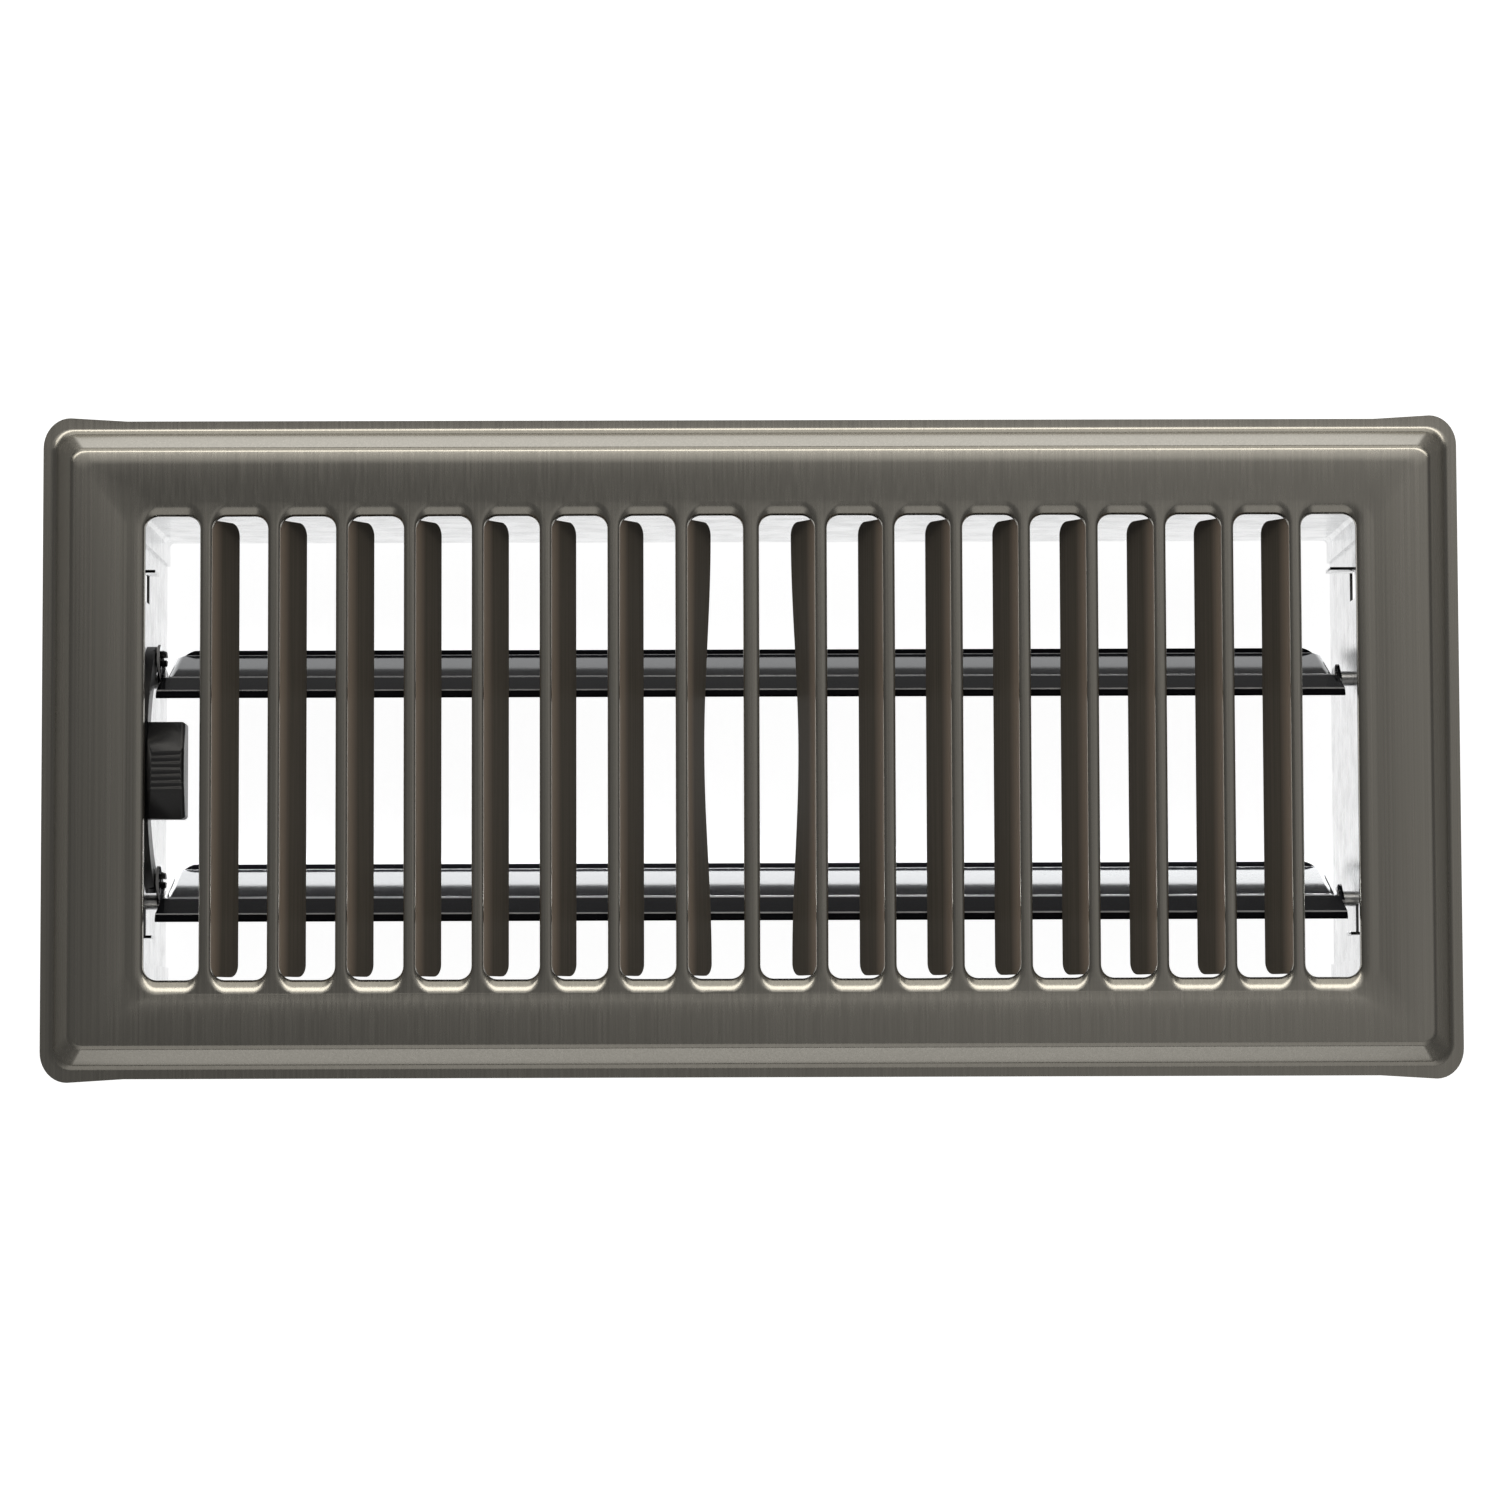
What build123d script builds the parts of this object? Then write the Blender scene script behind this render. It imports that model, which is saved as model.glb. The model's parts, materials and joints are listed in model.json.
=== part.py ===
from build123d import *
from math import atan2, cos, degrees, hypot, radians, sin
import os

# Floor register, millimetres, +Z up. The origin is at the middle of the damper box's bottom edge.
# X runs along the face, with the thumb lever at the -X end. +Y is the rear.

# Duct opening that the damper box drops into, and the room left around the box
duct_length = 254.0
duct_width = 101.6
duct_gap_x = 1.1
duct_gap_y = 2.0

# Sheet thicknesses
face_sheet = 0.7
wall_sheet = 0.6
blade_sheet = 0.6

# Face plate: how far it covers the floor past the box, and its rim
cover_x = 18.6
cover_y = 18.3
rise = 5.0
lip_width = 2.5
bevel_run = 3.6
lip_corner = 5.5
lip_flare = 0.7
flare_length = 9.0
pan_corner_low = 4.4
pan_corner_high = 1.9
rim_bend = 1.3

# Slots with rolled-down collars
slots_per_side = 9
bar_width = 2.6
middle_bar = 3.3
slot_corner = 4.0
collar_depth = 2.4
collar_roll = 1.2
collar_gap_x = 1.35
collar_gap_y = 0.35

# Fins, lanced out of the slots and bent down. The two beside the middle bar are bowed.
fin_length = 9.3
fin_lean = 28.0
fin_end_gap = 0.7
fin_corner = 3.5
fin_root_depth = 1.7
fin_bow = 1.4

# Damper box
flange_width = 6.0
flange_end_gap = 8.0
corner_flange = 5.0
corner_flange_drop = 8.0
wall_bend = 1.0
stop_tab_y = 37.9
stop_tab_height = 7.5
stop_tab_reach = 5.0
small_tab_reach = 2.0
tab_window = 6.2
tab_web = 0.8

# Damper blades, drawn in their open pose
short_side = 16.1
rear_edge_gap = 1.0
front_edge_gap = 1.75
blade_overlap = 1.85
joggle = 2.0
joggle_run = 1.2
edge_lip = 1.6
edge_lip_turn = 35.0
blade_bend = 0.9
blade_corner = 4.5
open_lean = 16.5
blade_top_gap = 0.9
blade_bottom_gap = 1.2

# Ears at the ends of the blades, pivots and crank
ear_radius = 3.0
ear_foot = 6.0
pivot_radius = 1.6
shank_radius = 1.2
rivet_head_radius = 2.5
rivet_head = 0.6
running_clearance = 0.08
crank_clearance = 0.15
end_play = 0.3
crank_radius = 7.0
crank_pin_radius = 1.5
crank_boss_radius = 2.6
snap_barb = 0.35
snap_head = 0.9
snap_slit = 0.7
snap_taper = 20.0

# Thumb lever
lever_plate = 2.0
lever_gap = 0.3
lever_top_gap = 0.5
pad_width = 7.4
pad_side_gap = 0.7
pad_length = 19.7
pad_offset = 1.2
pad_recess = 1.5
pad_depth = 8.0
pad_wall = 1.6
pad_end_drop = 2.8
pad_rear_slope = 4.0
pad_front_slope = 5.5
pad_round = 0.8
rib_count = 7
rib_pitch = 1.28
rib_width = 0.6
rib_height = 0.4
rib_taper = 15.0

# Plan sizes of the box, the slots and the face
box_out_x = duct_length / 2 - duct_gap_x
box_out_y = duct_width / 2 - duct_gap_y
box_in_x = box_out_x - wall_sheet
box_in_y = box_out_y - wall_sheet
face_x = box_out_x + cover_x
face_y = box_out_y + cover_y
bars_per_side = slots_per_side - 1
array_x = box_in_x - face_sheet - collar_gap_x
slot_width = (array_x - middle_bar / 2 - bars_per_side * bar_width) / slots_per_side
slot_length = 2 * (box_in_y - face_sheet - collar_gap_y)
slot_pitch = slot_width + bar_width
slot_centres = [middle_bar / 2 + slot_width / 2 + i * slot_pitch for i in range(slots_per_side)]

# Blade sizes and pivot places that close the box
blade_width = (2 * box_in_y - rear_edge_gap - front_edge_gap + blade_overlap) / 2
long_side = blade_width - short_side
rear_pivot_y = box_in_y - rear_edge_gap - long_side
front_pivot_y = rear_pivot_y - (blade_width - blade_overlap)
closed_turn = 90.0 - open_lean

# Heights, from the box's bottom edge up
fin_depth = fin_root_depth + fin_length * cos(radians(fin_lean)) + face_sheet * sin(radians(fin_lean))
pivot_z = long_side + joggle / 2 + blade_bottom_gap
face_top = pivot_z + short_side + blade_top_gap + fin_depth
face_under = face_top - face_sheet
lip_top = face_top - rise
lip_under = lip_top - face_sheet
pivot_places = [(rear_pivot_y, pivot_z), (front_pivot_y, pivot_z)]

# Places along X at the lever end, counted outwards from the middle
lever_out_x = box_in_x - lever_gap
lever_in_x = lever_out_x - lever_plate
ear_out_x = lever_in_x - end_play
blade_end_x = ear_out_x - blade_sheet

# Crank on the blades' ears: it swings evenly to both sides of its top, so the lever stays level
crank_lead = radians(closed_turn / 2)
crank_y = crank_radius * sin(crank_lead)
crank_z = crank_radius * cos(crank_lead)


def fin_plane(hinge_x, side, lean):
    """Plane of a fin's outer face: local X along the slot, local Y up the fin, normal into the sheet."""
    up_the_fin = Vector(side * sin(radians(lean)), 0, cos(radians(lean)))
    along_the_slot = Vector(0, side, 0)
    start = Vector(hinge_x, 0, face_top - fin_root_depth)
    return Plane(origin=start, x_dir=along_the_slot, z_dir=along_the_slot.cross(up_the_fin))


def fin_section(y, lean):
    """Cross section of the bowed fin at one place along its slot."""
    hinge_x = -slot_centres[0] - slot_width / 2
    root_z = face_top - fin_root_depth
    reach = fin_length * sin(radians(lean))
    drop = fin_length * cos(radians(lean))
    back_x = face_sheet * cos(radians(lean))
    back_z = face_sheet * sin(radians(lean))
    with BuildSketch(Plane.XZ.offset(-y)) as section:
        with BuildLine():
            Polyline(
                (hinge_x - face_sheet, root_z),
                (hinge_x, root_z),
                (hinge_x + reach, root_z - drop),
                (hinge_x + reach - back_x, root_z - drop - back_z),
                close=True,
            )
        make_face()
    return section.sketch


# Bowed fin: the middle of its free edge is pushed back towards its hinge
fin_span = slot_length - 2 * fin_end_gap
fin_reach = fin_length * sin(radians(fin_lean))
bowed_lean = degrees(atan2(fin_reach - fin_bow, fin_length * cos(radians(fin_lean))))
with BuildPart() as bowed_fin:
    loft([
        fin_section(-fin_span / 2, fin_lean),
        fin_section(0, bowed_lean),
        fin_section(fin_span / 2, fin_lean),
    ])
    short_edges = bowed_fin.edges().filter_by(lambda edge: edge.length < 2 * face_sheet)
    fillet(short_edges.sort_by(Axis.Z)[:2], fin_corner)

# Face plate
bevel_inset = face_sheet * (hypot(bevel_run, rise) - bevel_run) / rise
pan_low = (face_x - lip_width, face_y - lip_width)
pan_high = (pan_low[0] - bevel_run, pan_low[1] - bevel_run)
flare_start = (face_x - flare_length, face_y)
flare_end = (face_x - lip_corner, face_y + lip_flare)
corner_end = (face_x, face_y - lip_corner)
with BuildPart() as face_plate:
    # Raised pan with bevelled sides
    with BuildSketch(Plane.XY.offset(lip_top)):
        RectangleRounded(2 * pan_low[0], 2 * pan_low[1], pan_corner_low)
    with BuildSketch(Plane.XY.offset(face_top)):
        RectangleRounded(2 * pan_high[0], 2 * pan_high[1], pan_corner_high)
    loft()
    fillet(face_plate.faces().sort_by(Axis.Z)[-1].edges(), rim_bend)
    # Flat lip, a little flared where its edges meet the corners
    with BuildSketch(Plane.XY.offset(lip_under)):
        with BuildLine():
            Line((0, face_y), flare_start)
            Line(flare_start, flare_end)
            RadiusArc(flare_end, corner_end, lip_corner + lip_flare)
            Line(corner_end, (face_x, 0))
            mirror(about=Plane.XZ)
            mirror(about=Plane.YZ)
        make_face()
    extrude(amount=face_sheet)
    # Hollow underside
    with BuildSketch(Plane.XY.offset(lip_under)):
        RectangleRounded(2 * (pan_low[0] - bevel_inset), 2 * (pan_low[1] - bevel_inset), pan_corner_low)
    with BuildSketch(Plane.XY.offset(face_under)):
        RectangleRounded(2 * (pan_high[0] - bevel_inset), 2 * (pan_high[1] - bevel_inset), pan_corner_high)
    loft(mode=Mode.SUBTRACT)
    # Collars, then the slots through them
    slot_places = [(side * x, 0) for x in slot_centres for side in (-1, 1)]
    with BuildSketch(Plane.XY.offset(face_top - collar_depth)):
        with Locations(slot_places):
            RectangleRounded(
                slot_width + 2 * face_sheet,
                slot_length + 2 * face_sheet,
                slot_corner + face_sheet,
            )
    extrude(amount=collar_depth - face_sheet)
    with BuildSketch(Plane.XY.offset(face_top - collar_depth)):
        with Locations(slot_places):
            RectangleRounded(slot_width, slot_length, slot_corner)
    extrude(amount=collar_depth, mode=Mode.SUBTRACT)
    slot_mouths = face_plate.faces().sort_by(Axis.Z)[-1].inner_wires()
    fillet([edge for mouth in slot_mouths for edge in mouth.edges()], collar_roll)
    # Straight fins: each hangs from the outer edge of its slot and leans towards the middle of the face
    for side in (-1, 1):
        for x in slot_centres[1:-1]:
            with BuildSketch(fin_plane(side * (x + slot_width / 2), side, fin_lean)) as fin:
                Rectangle(fin_span, fin_length, align=(Align.CENTER, Align.MAX))
                fillet(fin.vertices().group_by(Axis.Y)[0], fin_corner)
            extrude(amount=face_sheet)
    add(bowed_fin.part)
    add(mirror(bowed_fin.part, about=Plane.YZ, mode=Mode.PRIVATE))
face_plate.part.label = "face_plate"


def end_wall_sheet(side):
    """Folded profile of an end wall: the upright, then the flange turned out under the face."""
    inner = side * box_in_x
    with BuildSketch(Plane.XZ) as profile:
        with BuildLine():
            FilletPolyline(
                (inner, 0),
                (inner, face_under),
                (inner + side * (wall_sheet + flange_width), face_under),
                radius=wall_bend,
            )
            offset(amount=wall_sheet, side=Side.RIGHT if side > 0 else Side.LEFT)
        make_face()
    return profile.sketch


def end_wall(side, rear_reach, front_reach):
    """End wall with its pivot holes and its tabs, each lanced out of a window beside it."""
    rear_tab_z = pivot_z - joggle / 2 + blade_sheet / 2 + end_play + stop_tab_height / 2
    front_tab_z = pivot_z + rivet_head_radius + tab_web + stop_tab_height / 2
    windows = [(stop_tab_y - tab_window / 2, rear_tab_z), (tab_window / 2 - stop_tab_y, front_tab_z)]
    tabs = [(stop_tab_y, rear_tab_z, rear_reach), (-stop_tab_y, front_tab_z, front_reach)]
    flange_half = box_in_y - flange_end_gap
    with BuildPart() as wall:
        extrude(end_wall_sheet(side), amount=box_out_y, both=True)
        # The flange is shorter than the upright
        with BuildSketch(Plane.YZ.offset(side * box_out_x)):
            with Locations((0, face_under)):
                Rectangle(2 * box_out_y, 2 * (wall_bend + wall_sheet))
                Rectangle(2 * flange_half, 2 * (wall_bend + wall_sheet), mode=Mode.SUBTRACT)
        extrude(amount=side * flange_width, mode=Mode.SUBTRACT)
        with BuildSketch(Plane.YZ.offset(side * box_in_x)):
            with Locations(pivot_places):
                Circle(shank_radius)
            with Locations(windows):
                Rectangle(tab_window, stop_tab_height)
        extrude(amount=side * wall_sheet, mode=Mode.SUBTRACT)
        for tab_y, tab_z, reach in tabs:
            with Locations((side * (box_out_x - (reach + wall_sheet) / 2), tab_y, tab_z)):
                Box(reach + wall_sheet, wall_sheet, stop_tab_height)
    return wall.part


with BuildPart() as lever_end_wall:
    add(end_wall(-1, small_tab_reach, small_tab_reach))
lever_end_wall.part.label = "lever_end_wall"

with BuildPart() as plain_end_wall:
    add(end_wall(1, stop_tab_reach, small_tab_reach))
plain_end_wall.part.label = "plain_end_wall"


def side_wall(side):
    """Long wall of the box: an upright, a flange turned out at its top and corner flanges at its ends."""
    inner = side * box_in_y
    with BuildPart() as wall:
        with BuildSketch(Plane.YZ):
            with BuildLine():
                FilletPolyline(
                    (inner, 0),
                    (inner, face_under),
                    (inner + side * (wall_sheet + flange_width), face_under),
                    radius=wall_bend,
                )
                offset(amount=wall_sheet, side=Side.RIGHT if side > 0 else Side.LEFT)
            make_face()
        extrude(amount=box_in_x - flange_end_gap, both=True)
        with BuildSketch(Plane.XY):
            with BuildLine():
                FilletPolyline(
                    (-box_in_x, inner - side * corner_flange),
                    (-box_in_x, inner + side * wall_sheet),
                    (box_in_x, inner + side * wall_sheet),
                    (box_in_x, inner - side * corner_flange),
                    radius=wall_bend + wall_sheet,
                )
                offset(amount=wall_sheet, side=Side.RIGHT if side > 0 else Side.LEFT)
            make_face()
        extrude(amount=face_under - corner_flange_drop)
    return wall.part


with BuildPart() as rear_side_wall:
    add(side_wall(1))
rear_side_wall.part.label = "rear_side_wall"

with BuildPart() as front_side_wall:
    add(side_wall(-1))
front_side_wall.part.label = "front_side_wall"


def blade_plane(x, pivot_y):
    """Plane across a blade at rest: local X runs to the long edge, local Y points out of its upper side."""
    to_long_edge = (0, sin(radians(open_lean)), -cos(radians(open_lean)))
    return Plane(origin=(x, pivot_y, pivot_z), x_dir=to_long_edge, z_dir=(1, 0, 0))


def blade_flat(pivot_y):
    """Plane along a blade at rest: local Y runs to the long edge, the normal out of its upper side."""
    upwards = (0, cos(radians(open_lean)), sin(radians(open_lean)))
    return Plane(origin=(0, pivot_y, pivot_z), x_dir=(1, 0, 0), z_dir=upwards)


def blade(pivot_y, crank_hole_radius):
    """Pressed blade with a joggle at its pivot, a lip on each long edge and an ear on each end."""
    lip_run = edge_lip * cos(radians(edge_lip_turn))
    lip_rise = edge_lip * sin(radians(edge_lip_turn))
    feet = [(ear_foot, -joggle / 2), (-ear_foot, joggle / 2)]
    with BuildPart() as pressed:
        with BuildSketch(blade_plane(0, pivot_y)):
            with BuildLine():
                FilletPolyline(
                    (long_side, lip_rise - joggle / 2),
                    (long_side - lip_run, -joggle / 2),
                    (joggle_run / 2, -joggle / 2),
                    (-joggle_run / 2, joggle / 2),
                    (lip_run - short_side, joggle / 2),
                    (-short_side, joggle / 2 - lip_rise),
                    radius=blade_bend,
                )
            trace(line_width=blade_sheet)
        extrude(amount=blade_end_x, both=True)
        # Rounded corners at the long edge
        with BuildSketch(blade_flat(pivot_y)):
            with Locations((0, long_side)):
                Rectangle(2 * blade_end_x, 2 * blade_corner)
                RectangleRounded(
                    2 * blade_end_x,
                    4 * blade_corner,
                    blade_corner,
                    align=(Align.CENTER, Align.MAX),
                    mode=Mode.SUBTRACT,
                )
        extrude(amount=2 * joggle, both=True, mode=Mode.SUBTRACT)
        for side in (-1, 1):
            # Ear bent up from two feet, with the pivot hole. The lever end's ear also carries the crank hole.
            with BuildSketch(blade_plane(side * blade_end_x, pivot_y)):
                with Locations(feet):
                    Circle(blade_sheet / 2)
                Circle(ear_radius)
                if side < 0:
                    with Locations((-crank_y, crank_z)):
                        Circle(ear_radius)
                make_hull()
                Circle(pivot_radius + running_clearance, mode=Mode.SUBTRACT)
                if side < 0:
                    with Locations((-crank_y, crank_z)):
                        Circle(crank_hole_radius, mode=Mode.SUBTRACT)
            extrude(amount=side * blade_sheet)
            # Notch between the feet for the rivet's head
            with BuildSketch(blade_plane(side * blade_end_x, pivot_y)):
                Circle(rivet_head_radius + end_play)
            extrude(amount=-side * (rivet_head + 2 * end_play), mode=Mode.SUBTRACT)
    return pressed.part


with BuildPart() as rear_blade:
    add(blade(rear_pivot_y, crank_pin_radius + running_clearance))
rear_blade.part.label = "rear_blade"

with BuildPart() as front_blade:
    add(blade(front_pivot_y, crank_pin_radius + crank_clearance))
front_blade.part.label = "front_blade"

# Shouldered rivets: a head outside the end wall, a shoulder inside it, a head inside the blade's ear
shoulder_end_x = blade_end_x - end_play
rivet_steps = [
    (box_out_x + rivet_head, box_out_x, rivet_head_radius),
    (box_out_x, box_in_x, shank_radius),
    (box_in_x, shoulder_end_x, pivot_radius),
    (shoulder_end_x, shoulder_end_x - rivet_head, rivet_head_radius),
]
with BuildPart() as pivot_rivets:
    for side in (-1, 1):
        for outer_x, inner_x, radius in rivet_steps:
            with BuildSketch(Plane.YZ.offset(side * outer_x)):
                with Locations(pivot_places):
                    Circle(radius)
            extrude(amount=side * (inner_x - outer_x))
pivot_rivets.part.label = "pivot_rivets"

# Thumb lever: an arched link plate, two split snap pins and the ribbed thumb pad
rear_crank = (rear_pivot_y + crank_y, pivot_z + crank_z)
front_crank = (front_pivot_y + crank_y, pivot_z + crank_z)
lever_middle_y = (rear_crank[0] + front_crank[0]) / 2
lever_lift = crank_radius - crank_z
arch_top = face_top - collar_depth - lever_top_gap - lever_lift
arch_peak = (lever_middle_y, arch_top - crank_boss_radius)
pad_top = face_top - pad_recess
pad_bottom = pad_top - pad_depth
pad_rear_y = lever_middle_y - pad_offset + pad_length / 2
pad_front_y = pad_rear_y - pad_length
pad_out_x = array_x - pad_side_gap
with BuildPart() as damper_lever:
    # Pad with sloped ends, hollow underneath
    with BuildSketch(Plane.YZ.offset(-pad_out_x)):
        with BuildLine():
            Polyline(
                (pad_rear_y, pad_bottom),
                (pad_rear_y, pad_top - pad_end_drop),
                (pad_rear_y - pad_rear_slope, pad_top),
                (pad_front_y + pad_front_slope, pad_top),
                (pad_front_y, pad_top - pad_end_drop),
                (pad_front_y, pad_bottom),
                close=True,
            )
        make_face()
    extrude(amount=pad_width)
    fillet(damper_lever.faces().sort_by(Axis.X)[-1].edges().filter_by(Axis.Y, reverse=True), pad_round)
    with BuildSketch(Plane.XY.offset(pad_bottom)):
        with Locations((pad_width / 2 - pad_out_x, (pad_rear_y + pad_front_y) / 2)):
            Rectangle(pad_width - 2 * pad_wall, pad_length - 2 * pad_wall)
    extrude(amount=pad_depth - pad_end_drop - pad_wall, mode=Mode.SUBTRACT)
    # Ribs across the front stretch of the pad's flat
    rib_middle_y = pad_front_y + pad_front_slope + (rib_count - 1) / 2 * rib_pitch + rib_width / 2
    with BuildSketch(Plane.XY.offset(pad_top)):
        with Locations((pad_width / 2 - pad_out_x, rib_middle_y)):
            with GridLocations(0, rib_pitch, 1, rib_count):
                Rectangle(pad_width - 2 * pad_round, rib_width)
    extrude(amount=rib_height, taper=rib_taper)
    # Neck from the pad to the plate
    with BuildSketch(Plane.YZ.offset(-lever_in_x)):
        with Locations(((pad_rear_y + pad_front_y) / 2, pad_bottom)):
            Rectangle(pad_length, arch_top - pad_bottom, align=(Align.CENTER, Align.MIN))
    extrude(amount=lever_in_x - pad_out_x)
    # Arched plate with a boss at each end
    with BuildSketch(Plane.YZ.offset(-lever_out_x)):
        with BuildLine():
            ThreePointArc(rear_crank, arch_peak, front_crank)
        trace(line_width=2 * crank_boss_radius)
        with Locations(rear_crank, front_crank):
            Circle(crank_boss_radius)
    extrude(amount=lever_plate)
    # Split snap pins through the blades' ears
    with BuildSketch(Plane.YZ.offset(-lever_in_x)):
        with Locations(rear_crank, front_crank):
            Circle(crank_pin_radius)
    extrude(amount=2 * end_play + blade_sheet)
    with BuildSketch(Plane.YZ.offset(2 * end_play + blade_sheet - lever_in_x)):
        with Locations(rear_crank, front_crank):
            Circle(crank_pin_radius + snap_barb)
    extrude(amount=snap_head, taper=snap_taper)
    with BuildSketch(Plane.YZ.offset(end_play - lever_in_x)):
        with Locations(rear_crank, front_crank):
            Rectangle(snap_slit, 2 * (crank_pin_radius + snap_barb))
    extrude(amount=end_play + blade_sheet + snap_head, mode=Mode.SUBTRACT)
damper_lever.part.label = "damper_lever"

os.makedirs("parts", exist_ok=True)
export_step(face_plate.part, "parts/face_plate.step")
export_step(lever_end_wall.part, "parts/lever_end_wall.step")
export_step(plain_end_wall.part, "parts/plain_end_wall.step")
export_step(rear_side_wall.part, "parts/rear_side_wall.step")
export_step(front_side_wall.part, "parts/front_side_wall.step")
export_step(rear_blade.part, "parts/rear_blade.step")
export_step(front_blade.part, "parts/front_blade.step")
export_step(pivot_rivets.part, "parts/pivot_rivets.step")
export_step(damper_lever.part, "parts/damper_lever.step")
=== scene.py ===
import json
from math import atan2, cos, radians, sin, tan

import bmesh
import bpy
from bpy.props import FloatProperty, FloatVectorProperty, IntProperty, PointerProperty
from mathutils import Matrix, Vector
from mathutils.geometry import delaunay_2d_cdt


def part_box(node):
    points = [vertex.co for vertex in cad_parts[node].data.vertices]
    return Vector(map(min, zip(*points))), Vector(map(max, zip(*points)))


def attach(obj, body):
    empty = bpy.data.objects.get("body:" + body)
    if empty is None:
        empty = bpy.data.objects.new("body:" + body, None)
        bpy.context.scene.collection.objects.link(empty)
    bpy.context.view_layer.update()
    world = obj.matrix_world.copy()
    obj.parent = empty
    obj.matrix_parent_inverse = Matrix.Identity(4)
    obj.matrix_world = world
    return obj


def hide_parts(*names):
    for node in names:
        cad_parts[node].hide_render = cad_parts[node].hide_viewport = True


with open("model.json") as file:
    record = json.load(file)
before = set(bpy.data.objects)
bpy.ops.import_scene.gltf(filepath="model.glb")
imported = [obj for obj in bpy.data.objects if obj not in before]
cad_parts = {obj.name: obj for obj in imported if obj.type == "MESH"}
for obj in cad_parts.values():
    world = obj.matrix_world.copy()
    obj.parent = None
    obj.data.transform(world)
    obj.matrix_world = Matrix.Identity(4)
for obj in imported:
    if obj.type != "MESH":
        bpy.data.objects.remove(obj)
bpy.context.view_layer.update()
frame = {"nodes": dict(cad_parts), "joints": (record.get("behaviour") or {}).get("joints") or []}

bl_info = {
    "name": "Floor Register",
    "version": (1, 0, 0),
    "blender": (4, 5, 0),
    "location": "View3D > Sidebar > Register",
    "description": "Dresses a packed floor register: stamped face, fins, box, blades, lever and stage",
    "category": "Object",
}

MM = 0.001
FACE_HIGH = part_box("face_plate")[1]

# Steps along the curved stretches of the face and its fins
CORNER_STEPS = 10
ROLL_STEPS = 10
FIELD_STEPS = 6
SHOULDER_STEPS = 6
TOP_BEND_STEPS = 8
FOOT_BEND_STEPS = 5
FIN_BEND_STEPS = 4
FIN_ROWS = 22
FIN_COLUMNS = 28

# Steps along a rivet's domes and round its axis
DOME_STEPS = 6
LATHE_STEPS = 28

# Share of a bar's width that each of its two rolls takes up
ROLL_SHARE = 0.48

# Points closer than this are one point, in metres: in meshes made here, and in copies of the CAD meshes
WELD = 1e-7
CAD_WELD = 1e-6

# Edges that turn by more than this stay sharp, in degrees: in the same two kinds of meshes
SHARP = 40
CAD_SHARP = 32

# Tints of the lights
WARM = (1.0, 0.97, 0.9)
PALE = (1.0, 0.98, 0.95)
WHITE = (1.0, 1.0, 1.0)
COOL = (0.97, 0.985, 1.0)


def length(name, description, millimetres):
    """A length property given in millimetres and kept in metres."""
    return FloatProperty(
        name=name, description=description, default=millimetres * MM, min=0.0, unit="LENGTH", precision=5
    )


def colour(name, description, value):
    """A colour property without alpha."""
    return FloatVectorProperty(
        name=name, description=description, default=value, size=3, min=0.0, max=1.0, subtype="COLOR"
    )


def angle(name, description, degrees):
    """An angle property given in degrees and kept in radians."""
    return FloatProperty(name=name, description=description, default=radians(degrees), subtype="ANGLE")


def share(name, description, value):
    """A plain number from 0 to 1."""
    return FloatProperty(
        name=name, description=description, default=value, min=0.0, max=1.0, subtype="FACTOR"
    )


def power(name, description, watts):
    """A lamp's power."""
    return FloatProperty(name=name, description=description, default=watts, min=0.0, subtype="POWER")


class FaceSettings(bpy.types.PropertyGroup):
    """Sizes of the stamped face plate."""

    half_length: length("Half length", "From the middle of the face to its short edge", FACE_HIGH.x / MM)
    half_width: length("Half width", "From the middle of the face to its long edge, flares apart", 67.1)
    top: length("Top", "Height of the face's flat top", FACE_HIGH.z / MM)
    sheet: length("Sheet", "Thickness of the stamped sheet", 0.7)
    rise: length("Rise", "Height of the flat top over the lip", 5.0)
    lip_width: length("Lip width", "Width of the flat lip around the bevel", 2.35)
    lip_corner: length("Lip corner", "Radius of the lip's corners", 5.5)
    lip_flare: length("Lip flare", "How far the lip's corners stand out of its long edges", 0.7)
    flare_length: length("Flare length", "How far from the short edge a flare begins", 17.0)
    bevel_run: length("Bevel run", "Width of the bevel seen from above", 4.1)
    top_bend: length("Top bend", "Radius between the flat top and the bevel", 1.6)
    shoulder: length("Shoulder", "Radius of the soft shoulder before the top bend", 25.0)
    shoulder_turn: angle("Shoulder turn", "How far the soft shoulder turns down", 6)
    foot_bend: length("Foot bend", "Radius between the bevel and the lip", 1.8)
    dish: length("Dish", "How far the field of slots lies below the rest of the flat top", 0.45)
    field_gap: length("Field gap", "Gap from the outermost slots' rolls to the edge of their field", 0.3)
    field_corner: length("Field corner", "Corner radius of the field of slots", 5.0)
    pan_corner: length("Pan corner", "Corner radius at the top of the bevel", 1.9)
    foot_corner: length("Foot corner", "Corner radius at the foot of the bevel", 4.4)
    slots_per_side: IntProperty(
        name="Slots per side", description="Slots on each half of the face", default=9
    )
    slot_width: length("Slot width", "Clear width of a slot", 11.2)
    slot_length: length("Slot length", "Clear length of a slot", 94.3)
    slot_corner: length("Slot corner", "Corner radius of a slot", 2.7)
    bar: length("Bar", "Width of the bar between two slots", 2.6)
    middle_bar: length("Middle bar", "Width of the bar in the middle of the face", 3.3)
    collar_depth: length("Collar depth", "How far a slot's collar reaches below the top", 2.4)
    roll_height: length("Roll height", "Height of the roll into a slot", 1.5)
    end_height: length("End height", "Height of the roll at the ends of a slot", 1.95)
    crown: FloatProperty(
        name="Crown", description="2 for bars with a round crown, more for flatter ones", default=3.5
    )
    end_roll: length("End roll", "Radius across the roll at the ends of a slot", 4.2)
    end_turn: angle("End turn", "How far the roll turns at the ends of a slot before it runs out", 71)
    outer_roll: length("Outer roll", "Width of the roll on the outer sides of the outermost slots", 3.4)


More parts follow.
